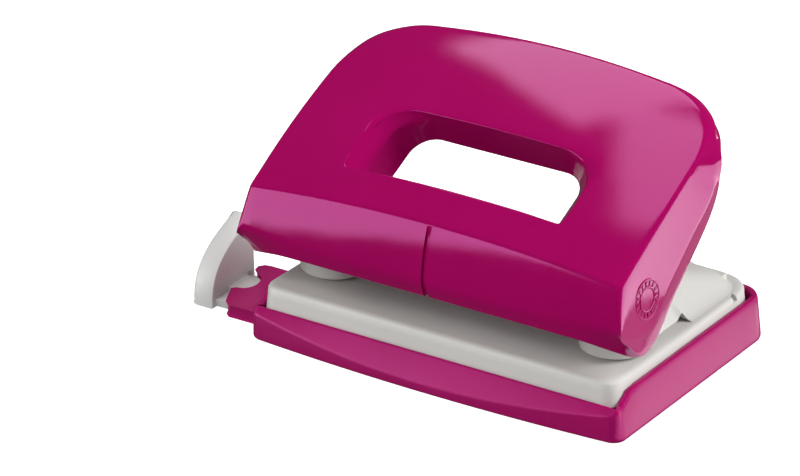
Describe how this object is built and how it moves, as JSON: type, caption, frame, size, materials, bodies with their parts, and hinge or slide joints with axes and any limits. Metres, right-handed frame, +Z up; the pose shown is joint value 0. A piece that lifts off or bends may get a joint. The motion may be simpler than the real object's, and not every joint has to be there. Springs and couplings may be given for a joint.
{
  "type": "hole punch",
  "caption": "Small two-hole office punch with a cut-through handle, a light grey body, a soft chip tray and a sliding paper guide.",
  "frame": {"origin": "on the flat underside of the chip tray, midway between the two punches", "axes": "+X to the right along the front edge, +Y from the front to the rear, +Z up"},
  "size_m": [0.1297, 0.0745, 0.0705],
  "materials": {
    "magenta_gloss": "glossy",
    "magenta_satin": "satin",
    "body_grey": "satin",
    "guide_grey": "satin",
    "steel": "zinc plated",
    "screw_steel": "zinc plated",
    "punch_steel": "ground"
  },
  "bodies": {
    "tray": {"chip_tray": "magenta_satin", "tray_hinge_pin_left": "steel", "tray_hinge_pin_right": "steel", "guide_leaf_spring": "steel"},
    "guide": {"paper_guide": "guide_grey"},
    "punch_unit": {"punch_body": "body_grey", "die_plate": "steel", "die_plate_screws": "screw_steel", "pivot_bracket": "steel", "bracket_screws": "screw_steel", "pivot_axle": "steel", "axle_clip_left": "steel", "axle_clip_right": "steel", "punch_spring_left": "punch_steel", "punch_spring_right": "punch_steel"},
    "handle": {"handle_shell": "magenta_gloss", "axle_cap_left": "magenta_gloss", "axle_cap_right": "magenta_gloss", "press_pad_left": "steel", "press_pad_right": "steel"},
    "left_punch": {"punch_left": "punch_steel", "spring_cap_left": "steel"},
    "right_punch": {"punch_right": "punch_steel", "spring_cap_right": "steel"}
  },
  "joints": [
    {"name": "tray_hinge", "type": "hinge", "parent": "tray", "child": "punch_unit", "pos_m": [0, 0.0362, 0.0122], "axis": [-1, 0, 0], "range_deg": [0, 65]},
    {"name": "guide_slide", "type": "slide", "parent": "tray", "child": "guide", "axis": [-1, 0, 0], "range_m": [0, 0.0785]},
    {"name": "handle_hinge", "type": "hinge", "parent": "punch_unit", "child": "handle", "pos_m": [0, -0.0227, 0.0337], "axis": [-1, 0, 0], "range_deg": [0, 30], "stiffness_Nm_per_rad": 0.2, "springref_deg": -28.65},
    {"name": "punch_left_slide", "type": "slide", "parent": "punch_unit", "child": "left_punch", "axis": [0, 0, -1], "range_m": [0, 0.0049], "deforming": ["punch_spring_left"]},
    {"name": "punch_right_slide", "type": "slide", "parent": "punch_unit", "child": "right_punch", "axis": [0, 0, -1], "range_m": [0, 0.0049], "deforming": ["punch_spring_right"]}
  ],
  "couplings": [
    {"joint": "punch_left_slide", "follows": "handle_hinge", "m_per_rad": 0.0093},
    {"joint": "punch_right_slide", "follows": "handle_hinge", "m_per_rad": 0.0093}
  ]
}
